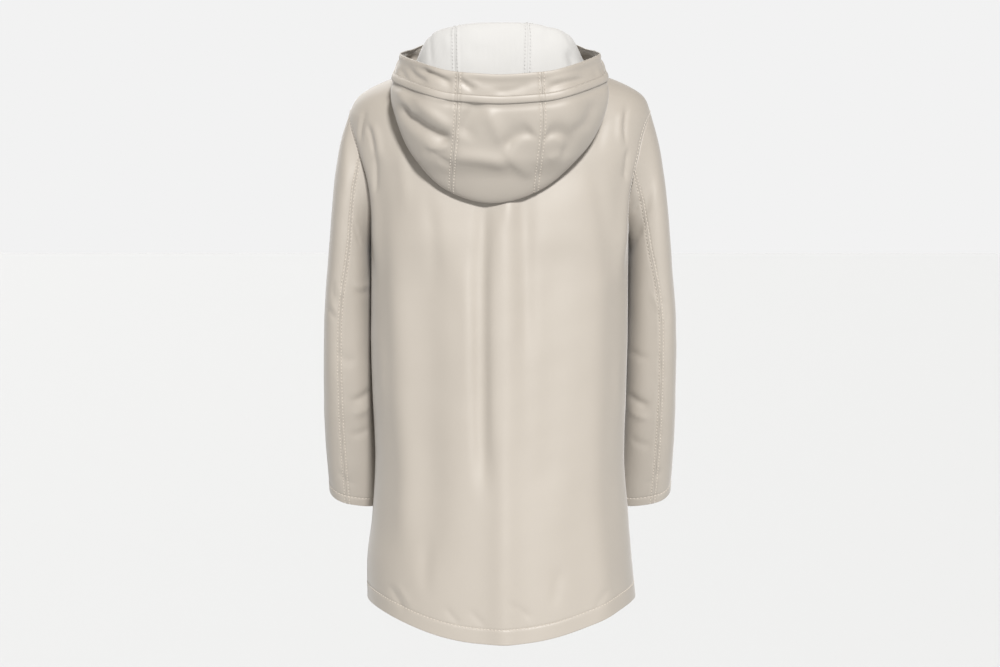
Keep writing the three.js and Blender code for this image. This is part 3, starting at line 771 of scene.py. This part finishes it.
def sewn_piece(name, grid, turned, rows, reverse_rows=(), past=TURN_PAST):
    """The cloth of a piece, its bottom edge turned in over a band, with its rows of stitches."""
    wall = mix(CLOTH_WALL, HEM_WALL, ease((turned + past - grid.bottom) / TURN_SOFT))
    made = cloth_shell(name + "_cloth", grid, grid.bottom < turned, wall)
    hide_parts(name)
    stitches = stitch_rows(name + "_stitches", rows, reverse_rows)


# Where the points of a piece stand close together: beside its seams and up to the stitching of its hem, and
# on the body also over the folds beside the armholes
seam_places = [0, 0.5, 1.1, 1.8, 2.6, 3.4, 4.1, 4.9, 6.1, 8.2, 11]
hem_places = [0, 0.35, 0.9, 2, 4.5, 8, 12, 16, 18.5, 20.2, 21.2, 22, 22.8, 23.8, 25.5, 28.5]
cuff_places = [0, 0.35, 0.9, 2, 4.5, 7.5, 10.5, 12.4, 13.3, 14, 14.7, 15.6, 17.5, 20.5]
body_places = seam_places + list(np.arange(13.2, 42, 2.2))
front_edge_places = [0, 2]
neck_places = [0, 1, 2.5, 5]
sleeve_top_places = [0, 0.5, 1.1, 1.8, 2.6, 3.6, 5]
PITCH = 3.4
BODY_PITCH = 4.3
ROW_PITCH = 3.8


def rolled_edge(distance, wall):
    """How far a turned edge comes in towards the middle of its wall."""
    near = np.clip(1 - distance / (wall / 2), 0, 1)
    return -wall / 2 * (1 - np.sqrt(np.maximum(0, 1 - near**2)))


def slow_swells(points, wide=WIDE_SWELL):
    return unevenness(points, *wide) + unevenness(points, *FINE_SWELL)


# Armhole seam: it is drawn in towards the armhole's middle, along the part of the edges between two heights
armhole_middle = np.array([199, 2, -152])
ARMHOLE_TOP = -62
ARMHOLE_BOTTOM = -262
ARMHOLE_SOFT = 12


def armhole_inward(hand, points):
    return unit(armhole_middle * [hand, 1, 1] - points)


# Close rows down the body, from which its pieces take theirs at even distances
fine_rows = np.concatenate([
    np.linspace(0, TIP_ROW, 40)[:-1],
    armhole_row(np.linspace(0, HALF_RING, 70))[:-1],
    np.linspace(UNDERARM_ROW, HEM_ROW, 110),
])
ACROSS_BACK = 90
ACROSS_FRONT = 50


def body_grid(face, start, end):
    """The back or a front. It starts and ends at the left edge (-1), the middle (0) or the right edge (1)."""
    across = np.linspace(start, end, ACROSS_BACK if end - start > 1 else ACROSS_FRONT)
    left, right = edge_turn(face, -1, fine_rows), edge_turn(face, 1, fine_rows)
    turn = across * np.where(across < 0, left[:, None], right[:, None])
    points = body_point(face, turn, fine_rows[:, None])
    points = respaced_down(points, neck_places, hem_places, ROW_PITCH)
    start_places = body_places if start else front_edge_places
    end_places = body_places if end else front_edge_places
    return Grid(respaced(points, start_places, end_places, BODY_PITCH), face)


def with_ditches(grid, start, end):
    """Draws the armhole, side and shoulder seams in, the same way on both of the pieces that meet there."""
    points = grid.points.copy()
    for hand, distance, column in ((start, grid.start, 0), (end, grid.end, -1)):
        if not hand:
            continue
        edge = grid.points[:, column]
        above = ease((edge[:, 2] - ARMHOLE_BOTTOM) / ARMHOLE_SOFT)
        below = ease((ARMHOLE_TOP - edge[:, 2]) / ARMHOLE_SOFT)
        on_armhole = (above * below)[:, None]
        inward = armhole_inward(hand, edge)[:, None, :] * on_armhole[..., None]
        way = inward - grid.out * (1 - on_armhole[..., None])
        points += way * -drawn_in(distance, 0, SEAM_DITCH)[..., None]
        points += grid.out * (on_armhole * drawn_in(distance, EDGE_STITCH, EDGE_NEEDLE))[..., None]
    return Grid(points, grid.facing)


crease_columns = "fromA fromB toA toB bow wide out fade lop"

# Creases listed one by one, across (x) and up (z). On the back: the folds beside the armholes, soft troughs
# that leave the hood, long slow folds and the short slants that the hem's stitching pulls in.
back_creases = table(crease_columns, [
    [-12, -208, -10, -581, 0, 8, 2.0, 0.3],
    [-35, -208, -29, -610, 0, 8, -1.8, 0.3],
    [-188, -82, -177, -134, 2, 3, -3.2, 0.3],
    [-176, -122, -176, -189, 1, 3.5, -2.8, 0.3],
    [-181, -78, -169, -142, 3, 5.5, 2.2, 0.35],
    [-188, -61, -198, -117, -2.5, 3, -2.8, 0.3],
    [-194, -64, -202, -117, -2.5, 3, 1.4, 0.3],
    [182, -53, 179, -118, -5.5, 3, -3, 0.3],
    [180, -117, 175, -170, 0, 3.5, -2.8, 0.3],
    [175, -59, 171, -122, -4.5, 5.5, 2, 0.35],
    [155, -64, 136, -131, -3.5, 8.5, -1.6, 0.4],
    [11, -136, 12, -241, 1, 11, 3.5, 0.4],
    [120, -114, 156, -327, 9, 12.5, -2.6, 0.4],
    [-105, -158, -92, -330, 4.5, 11, -1.9, 0.4],
    [-144, -98, -132, -219, 3, 10, 1.9, 0.4],
    [-162, -734, -131, -778, 1, 4, -1.8, 0.35],
    [-151, -729, -121, -769, 0.5, 4, 1.2, 0.35],
    [-79, -759, -54, -787, -0.5, 4, -1.3, 0.35],
    [-44, -762, -18, -789, -0.5, 4, -1.1, 0.35],
    [11, -749, 46, -779, 0.5, 4, -1.6, 0.35],
    [158, -737, 132, -772, -0.5, 4, -1.6, 0.35],
    [84, -697, 73, -771, 1, 8.5, -1.4, 0.4],
    [-98, -654, -101, -759, -5.5, 10, -1.7, 0.4],
    [-173, -372, -171, -498, 4.5, 7, 1.4, 0.4],
    [173, -386, 171, -513, -4.5, 7, 1.4, 0.4],
    [-53, -261, -50, -498, 7, 12.5, 1.4, 0.4],
    [42, -330, 45, -569, -7, 12.5, -1.4, 0.4],
])
front_creases = table(crease_columns, [
    [-174, -112, -168, -190, 4, 4.5, 2.2, 0.3],
    [-183, -116, -176, -196, 4, 4.5, -2.2, 0.3],
    [172, -106, 167, -182, -4, 4.5, 2.0, 0.3],
    [181, -110, 175, -190, -4, 4.5, -2.0, 0.3],
    [-122, -116, -84, -240, 8, 12, -2.2, 0.4],
    [118, -124, 92, -228, -6, 12, -2.0, 0.4],
    [-62, -128, -40, -196, 4, 8, -1.4, 0.4],
    [58, -126, 44, -206, -5, 8, -1.3, 0.4],
    [-150, -300, -138, -430, 6, 10, 1.4, 0.4],
    [146, -330, 132, -470, -6, 10, 1.3, 0.4],
    [-74, -470, -82, -640, -6, 11, -1.6, 0.4],
    [86, -430, 78, -600, 6, 11, -1.5, 0.4],
    [-156, -706, -124, -752, 2, 4.5, -1.4, 0.35],
    [-60, -728, -36, -762, 2, 4, -1.1, 0.35],
    [48, -730, 70, -764, 2, 4, -1.0, 0.35],
    [138, -700, 112, -748, -2, 4.5, -1.3, 0.35],
])

def armhole_stitches(grid, distance):
    """The edge-stitch row beside an armhole, on the part of the edge that the armhole takes."""
    line, out = row_down(grid, distance, EDGE_STITCH)
    on_armhole = (line[:, 2] < ARMHOLE_TOP) & (line[:, 2] > ARMHOLE_BOTTOM)
    return line[on_armhole], out[on_armhole]


def body_piece(name, face, start, end, creases):
    grid = body_grid(face, start, end)
    height = strokes(creases, grid.points[..., 0], grid.points[..., 2]) + slow_swells(grid.points)
    height = height + turned_hem(grid.bottom, HEM_BAND) + rolled_edge(grid.bottom, HEM_WALL)
    grid = with_ditches(grid.raised(height), start, end)
    armholes = [distance for hand, distance in ((start, grid.start), (end, grid.end)) if hand]
    rows = [row_across(grid, HEM_BAND)] + [armhole_stitches(grid, distance) for distance in armholes]
    sewn_piece(name, grid, HEM_BAND, rows)


body_piece("back", -1, -1, 1, back_creases)
body_piece("front_left", 1, -1, 0, front_creases)
body_piece("front_right", 1, 0, 1, front_creases)

# Sleeves
sleeve_creases = {
    -1: table(crease_columns, [
        [-211, -221, -199, -263, 0.5, 3.5, -1.7, 0.35],
        [-214, -310, -184, -309, -9.5, 4, 1.6, 0.35],
        [-214, -320, -184, -320, -8.5, 4, -1.5, 0.35],
        [-235, -306, -236, -340, -4.5, 4, -1.5, 0.35],
        [-231, -314, -226, -336, 1.5, 4, 1.2, 0.35],
        [-253, -345, -234, -369, 0, 3, -1.4, 0.35],
        [-247, -339, -227, -363, 0.5, 3, 0.9, 0.35],
        [-183, -467, -221, -490, 4.5, 5.5, -2.6, 0.35],
        [-183, -489, -222, -509, 5, 5.5, 1.6, 0.35],
        [-185, -527, -223, -541, 3.5, 5.5, -1.4, 0.35],
        [-239, -411, -205, -429, -6, 7, -1.3, 0.35],
        [-243, -592, -210, -622, -4, 4, -1.1, 0.35],
        [-211, -137, -223, -226, -3, 8.5, 1.2, 0.4],
    ]),
    1: table(crease_columns, [
        [209, -221, 196, -248, 0.5, 3.5, -1.7, 0.35],
        [202, -188, 190, -215, -0.5, 3.5, -1.7, 0.35],
        [184, -476, 222, -496, -4, 5.5, -2.6, 0.35],
        [184, -498, 224, -515, -4.5, 5.5, 1.6, 0.35],
        [185, -411, 220, -423, -4, 5.5, -1.4, 0.35],
        [231, -333, 246, -372, 0, 4, -1.3, 0.35],
        [215, -323, 230, -361, 2, 4, 1, 0.35],
        [243, -586, 212, -621, 4, 4, -1.1, 0.35],
        [211, -123, 222, -226, 2.5, 8.5, 1.2, 0.4],
        [190, -542, 225, -555, -5.5, 5.5, -1.2, 0.35],
    ]),
}


# Between the front and the back half of a sleeve its creases change over this share of its turn
SIDE_SOFT = 0.5


def sleeve_relief(hand, grid):
    """Creases of the back half as they lie on this hand, those of the front half from the other hand's back."""
    x, z = grid.points[..., 0], grid.points[..., 2]
    behind = ease((SIDE_SOFT / 2 - grid.out[..., 1]) / SIDE_SOFT)
    return behind * strokes(sleeve_creases[hand], x, z) + (1 - behind) * strokes(sleeve_creases[-hand], -x, z)


# The back seam swings round the sleeve below the armhole, by so many steps, before it comes back to its line
seam_swings = table("place left right", [
    [0, 0.2, 1.7],
    [20, 0.57, 1.64],
    [50, 0.82, 1.58],
    [92, 0.76, 1.24],
    [152, 0.65, 0.79],
    [180, 0.44, 0.45],
    [206, 0.18, 0.13],
    [232, 0.06, -0.07],
    [310, 0, -0.1],
    [SLEEVE_LONG, 0, 0],
])
seam_swing = {
    hand: smooth_through([at["place"] for at in seam_swings], [at[name] for at in seam_swings])
    for hand, name in ((-1, "left"), (1, "right"))
}


# Close points round and down a sleeve, from which its pieces take theirs at even distances
FINE_STEPS = 6
SLEEVE_NEAR = 40
sleeve_places = np.concatenate([
    np.linspace(0, SLEEVE_NEAR, 14)[:-1],
    np.linspace(SLEEVE_NEAR, SLEEVE_LONG, 120),
])
ROOM_BEFORE = 1
ROOM_AFTER = 3


def sleeve_piece(name, hand, start, end):
    """A piece of the sleeve between two steps round it, worked out with room on both sides for the swing."""
    room = ROOM_BEFORE + ROOM_AFTER
    sampled = np.linspace(start - ROOM_BEFORE, end + ROOM_AFTER, FINE_STEPS * (end - start + room) + 1)
    wrapped = np.where(sampled > HALF_RING, sampled - 2 * HALF_RING, sampled)
    swing = seam_swing[hand](sleeve_places)
    first = start + swing * (start == BACK_SEAM)
    last = end + swing * (end == BACK_SEAM)
    share = np.linspace(0, 1, FINE_STEPS * (end - start) + 1)
    points = np.array([
        smooth_through(sampled, line)(mix(begin, stop, share))
        for line, begin, stop in zip(sleeve_grid(hand, wrapped, sleeve_places), first, last)
    ])
    points = respaced_down(points, sleeve_top_places, cuff_places, ROW_PITCH)
    grid = Grid(respaced(points, seam_places, seam_places, PITCH), hand)
    height = slow_swells(grid.points) + sleeve_relief(hand, grid)
    height = height + twin_needle(grid.start) + twin_needle(grid.end)
    height = height + puckers(grid.points, np.minimum(grid.start, grid.end))
    height = height + turned_hem(grid.bottom, CUFF_BAND) + rolled_edge(grid.bottom, HEM_WALL)
    grid = grid.raised(height)
    drawn = armhole_inward(hand, grid.points[:1]) * -drawn_in(grid.top, 0, SEAM_DITCH)[..., None]
    grid = Grid(grid.points + drawn, hand)
    rows = [row_across(grid, CUFF_BAND)] + [row_down(grid, far, NEEDLE_HALF) for far in (grid.start, grid.end)]
    sewn_piece(name, grid, CUFF_BAND, rows)


for hand, sign in (("left", -1), ("right", 1)):
    sleeve_piece("sleeve_upper_" + hand, sign, FRONT_SEAM, BACK_SEAM)
    sleeve_piece("sleeve_under_" + hand, sign, BACK_SEAM, 2 * HALF_RING + FRONT_SEAM)

# Hood: its places across and its rows, close together beside the seams, at the folds and at the channel
near_seam = np.array([0.02, 0.04, 0.065, 0.09, 0.12, 0.16, 0.21, 0.27])
seam_side = np.concatenate([SEAM_STATION - near_seam[::-1], [SEAM_STATION], SEAM_STATION + near_seam])
half_places = np.concatenate([np.linspace(0, 0.68, 12), seam_side, np.linspace(1.33, EDGE_STATION, 90)])
hood_places = np.concatenate([-half_places[:0:-1], half_places])
row_steps = [3] * 4 + [4] * 2 + [7] * 3 + [4] * 3 + [6] + [9] * 2 + [8] * 4 + [12, 6, 5]
hood_rows = np.concatenate([
    np.arange(steps) / steps + row for row, steps in enumerate(row_steps)
] + [[HOOD_ROWS - 0.08, HOOD_ROWS - 0.03, HOOD_ROWS]])
hood_points = np.array([hood_line(place, hood_rows) for place in hood_places])

# Inside, the right seam slants across towards the middle as it comes down from the fold
SLANT = -0.42
SLANT_FROM_ROW = 2
SLANT_TO_ROW = 11
SLANT_SOFT = 3
SLANT_AT = 1.0
SLANT_WIDE = 0.9
slant = SLANT * ease((hood_rows - SLANT_FROM_ROW) / SLANT_SOFT) * ease((SLANT_TO_ROW - hood_rows) / SLANT_SOFT)
near_right = np.exp(-(((hood_places[:, None] - SLANT_AT) / SLANT_WIDE) ** 2))
slanted = hood_places[:, None] + slant * near_right
along_hood = smooth_through(hood_places, hood_points)
hood_points = np.array([along_hood(slanted[:, row])[:, row] for row in range(len(hood_rows))])

# Under its swell the bag's outer side steps in towards the back
STEP_IN = 7
STEP_TOP = -132
STEP_HIGH = 30
hood_points[..., 1] += STEP_IN * ease((STEP_TOP - hood_points[..., 2]) / STEP_HIGH)
hood_grid = Grid(hood_points, 1)
seam_at = [int(np.argmin(np.abs(hood_places - place))) for place in (-SEAM_STATION, SEAM_STATION)]
from_seam = np.minimum(*[np.abs(hood_grid.start - hood_grid.start[:, at:at + 1]) for at in seam_at])
OUTSIDE_SOFT = 1.5
on_outside = ease((hood_rows[:, None] - FLOOR_ROW) / OUTSIDE_SOFT)

# On the outside of the bag: the deep dent on the left, the arc on the right, the fold above its bottom and the
# slants between the channel and the rim
hood_creases = table(crease_columns, [
    [-141, -34, -115, -82, -1, 7.5, 3.6, 0.25],
    [-123, -48, -60, -96, -2, 7.5, 3, 0.25],
    [-139, -58, -64, -111, -9.5, 8.5, -8.6, 0.16],
    [-104, -120, -68, -116, -1.5, 5.5, 2.2, 0.3],
    [-113, -45, -66, -56, -4, 5, 2, 0.3],
    [-24, -56, -49, -111, -8, 9, -5, 0.28, 1.6],
    [-21, -64, 7, -116, 0.5, 10, 3, 0.3],
    [6, -125, 52, -102, 11, 6, -4.6, 0.25, 2.4],
    [57, -108, 98, -116, 12, 6, -4.6, 0.25, 2.2],
    [5, -116, 50, -162, -6, 6.5, 3.2, 0.3, 2.2],
    [-75, -130, 19, -145, 4.5, 10, 4.2, 0.25],
    [-86, -130, -65, -142, -1, 3, -2.4, 0.3],
    [-88, -138, -66, -149, -1, 3, 1.6, 0.3],
    [-107, -123, -83, -129, 1.5, 5, -1.8, 0.3],
    [107, -83, 81, -139, 3.5, 7.5, -3.6, 0.28],
    [130, -51, 107, -100, 5, 8.5, -3.2, 0.3],
    [62, -135, 89, -124, -2, 6.5, 1.8, 0.3],
    [-139, -9, -127, -29, 0.5, 3, -2.8, 0.3],
    [-127, -8, -95, -30, -4.5, 3.5, -3.6, 0.3],
    [-122, -7, -91, -27, -2, 3.5, 2.2, 0.3],
    [-113, -11, -61, -37, 2, 4, -3.6, 0.25],
    [-104, -7, -60, -27, -1.5, 4, 2.2, 0.3],
    [-54, -27, -32, -42, -2, 3.5, -3.2, 0.3],
    [-55, -23, -23, -38, 0, 3.5, 1.8, 0.3],
    [-16, -41, 46, -30, -6, 5, -2.6, 0.3],
    [55, -41, 123, -24, 1, 4, -3.6, 0.3],
    [58, -30, 116, -16, -0.5, 4, 2, 0.3],
    [129, -10, 133, -24, 1, 3, -2, 0.3],
    [139, -6, 143, -20, 0.5, 3, -2, 0.3],
])
lining_creases = table(crease_columns, [
    [92, 16, 106, -14, 2, 7, 5.0, 0.3],
    [-96, 52, -93, -9, -2.5, 3, 1.7, 0.25],
    [87, 47, 109, 12, -0.5, 3, 1.7, 0.25],
    [34, 24, 14, -17, 1, 2.5, 1.9, 0.25],
    [27, 22, 8, -14, 0.5, 2.5, -1, 0.25],
    [-51, 18, -4, 18, -5.5, 7, 1.8, 0.35],
    [69, 57, 58, 15, 1, 5.5, 1.1, 0.35],
    [-82, 40, -76, 7, 6, 5.5, -1, 0.35],
])
hood_x, hood_z = hood_grid.points[..., 0], hood_grid.points[..., 2]
hood_bottom = hood_grid.bottom
under_channel = np.array([rim_distances(place)[0] for place in hood_places]) + UNDER_CHANNEL_AT
hood_height = twin_needle(from_seam) + slow_swells(hood_grid.points, HOOD_SWELL)
hood_height = hood_height + on_outside * strokes(hood_creases, hood_x, hood_z)
hood_height = hood_height + (1 - on_outside) * strokes(lining_creases, hood_x, hood_z)
hood_height = hood_height + puckers(hood_grid.points, from_seam)
hood_height = hood_height + drawn_in(hood_bottom, under_channel, UNDER_CHANNEL)
hood_height = hood_height + drawn_in(hood_bottom, UNDER_RIM_AT, UNDER_RIM)
hood_height = hood_height - drawn_in(hood_bottom, RIM_ROLL_AT, RIM_ROLL)
hood_grid = hood_grid.raised(hood_height + rolled_edge(hood_bottom, HEM_WALL))


def part_of(grid, columns):
    made = Grid(grid.points[:, columns], grid.facing)
    made.out = grid.out[:, columns]
    return made


def hood_piece(name, columns, seams):
    """A piece of the hood, with the needle rows of its seams on the face and on the reverse."""
    grid = part_of(hood_grid, columns)
    rows = [row_down(grid, distance, NEEDLE_HALF) for distance in seams(grid)]
    reverse_rows = [(line - out * CLOTH_WALL, -out) for line, out in rows]
    sewn_piece(name, grid, FACING_WIDE, rows, reverse_rows, past=0)


first, second = seam_at
hood_piece("hood_side_left", slice(0, first + 1), lambda grid: [grid.end])
hood_piece("hood_centre", slice(first, second + 1), lambda grid: [grid.start, grid.end])
hood_piece("hood_side_right", slice(second, None), lambda grid: [grid.start])

# Channel of the drawcord, laid on the hood between two of its rows
channel_share = np.linspace(0, 1, 13)
row_index = np.interp(CHANNEL_ROW + channel_share, hood_rows, np.arange(len(hood_rows)))
low = np.floor(row_index).astype(int)
high = np.minimum(low + 1, len(hood_rows) - 1)
part = (row_index - low)[:, None, None]
channel_base = mix(hood_grid.points[low], hood_grid.points[high], part)
channel_out = unit(mix(hood_grid.out[low], hood_grid.out[high], part))
channel_bow = np.sqrt(np.clip(1 - (2 * channel_share - 1) ** 2, 0, 1)) ** CHANNEL_SQUARED
channel_height = LAY_GAP + CHANNEL_HIGH * channel_bow
channel = cloth_shell("hood_channel_cloth", Grid(channel_base + channel_out * channel_height[:, None, None], 1))
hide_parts("hood_channel")

# Placket, laid on the fronts
placket_across = np.linspace(-PLACKET_WIDE / 2, PLACKET_WIDE / 2, 21)
placket_rows = np.linspace(PLACKET_TOP_ROW, HEM_ROW, 220)
placket_reach = (body_column["left"](placket_rows) + body_column["right"](placket_rows)) / 2
placket_turn = np.arctan2(placket_across[None, :], placket_reach[:, None])
placket_grid = Grid(body_point(1, placket_turn, placket_rows[:, None]), 1)
placket_height = LAY_GAP + PLACKET_WALL + PLACKET_LIFT + unevenness(placket_grid.points, *WIDE_SWELL)
placket_grid = placket_grid.raised(placket_height)
from_edge = np.minimum(placket_grid.start, placket_grid.end)
placket_edge = drawn_in(from_edge, PLACKET_STITCH, PLACKET_NEEDLE) + rolled_edge(from_edge, PLACKET_WALL)
placket_grid = placket_grid.raised(placket_edge)
placket_coated = np.ones(placket_grid.points.shape[:2], bool)
placket = cloth_shell("placket_cloth", placket_grid, placket_coated, placket_coated * PLACKET_WALL)
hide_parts("placket")
placket_sewn = stitch_rows("placket_stitches", [
    row_down(placket_grid, far, PLACKET_STITCH) for far in (placket_grid.start, placket_grid.end)
])

# Press studs keep their solids, in plated brass
for number in range(1, STUD_COUNT + 1):
    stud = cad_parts[f"press_stud_{number}"]
    stud.data.materials.clear()
    stud.data.materials.append(stud_finish)

# Studio: a pale sky down to the horizon, darker overhead, and a pale floor far below, both sizes in metres
PALE = "#f2f2f2"
CEILING = "#7b7264"
FLOOR_TONE = "#cdcfd1"
FLOOR_WIDE = 60
FLOOR_DOWN = -1.8
PALE_UP_TO = 0.09
CEILING_FROM = 0.35


def studio():
    world = bpy.data.worlds.new("studio")
    bpy.context.scene.world = world
    world.use_nodes = True
    sky = world.node_tree
    sky.nodes.clear()
    way = node(sky, "ShaderNodeTexCoord")
    height = node(sky, "ShaderNodeSeparateXYZ", {}, {"Vector": way.outputs["Generated"]})
    reach = {"From Min": PALE_UP_TO, "From Max": CEILING_FROM}
    rise = node(sky, "ShaderNodeMapRange", reach, {"Value": height.outputs["Z"]})
    glow = tones(sky, rise.outputs["Result"], PALE, CEILING)
    light = node(sky, "ShaderNodeBackground", {"Strength": 1.0}, {"Color": glow})
    node(sky, "ShaderNodeOutputWorld", {}, {"Surface": light.outputs["Background"]})
    made, tree = new_material("matt_studio_floor")
    surface(tree, {"Base Color": linear(FLOOR_TONE), "Roughness": 0.9})
    bpy.ops.mesh.primitive_plane_add(size=FLOOR_WIDE, location=(0, 0, FLOOR_DOWN))
    floor = bpy.context.object
    floor.name = "studio_floor"
    floor.data.materials.append(made)

    def sun(name, strength, angle, pointing):
        lamp = bpy.data.lights.new(name, "SUN")
        lamp.energy = strength
        lamp.angle = radians(angle)
        holder = bpy.data.objects.new(name, lamp)
        holder.rotation_euler = Vector(pointing).to_track_quat("-Z", "Y").to_euler()
        bpy.context.scene.collection.objects.link(holder)

    sun("key", 5.2, 8, (-0.14, 0.85, -0.5))
    sun("front_fill", 1.7, 50, (0.4, -0.8, -0.7))


studio()

# Camera: straight behind the coat, a little above its middle, in metres
CAMERA_FAR = 3.2
CAMERA_DOWN = radians(5)
CAMERA_AIM = Vector((0, 0, -0.388))
SENSOR_WIDE = 36
LENS_LONG = 79.45
camera_data = bpy.data.cameras.new("camera")
camera_data.sensor_width = SENSOR_WIDE
camera_data.lens = LENS_LONG
camera = bpy.data.objects.new("camera", camera_data)
looking = Vector((0, cos(CAMERA_DOWN), -sin(CAMERA_DOWN)))
camera.location = CAMERA_AIM - looking * CAMERA_FAR
camera.rotation_euler = looking.to_track_quat("-Z", "Y").to_euler()
bpy.context.scene.collection.objects.link(camera)
bpy.context.scene.camera = camera
bpy.context.scene.view_settings.view_transform = "Standard"
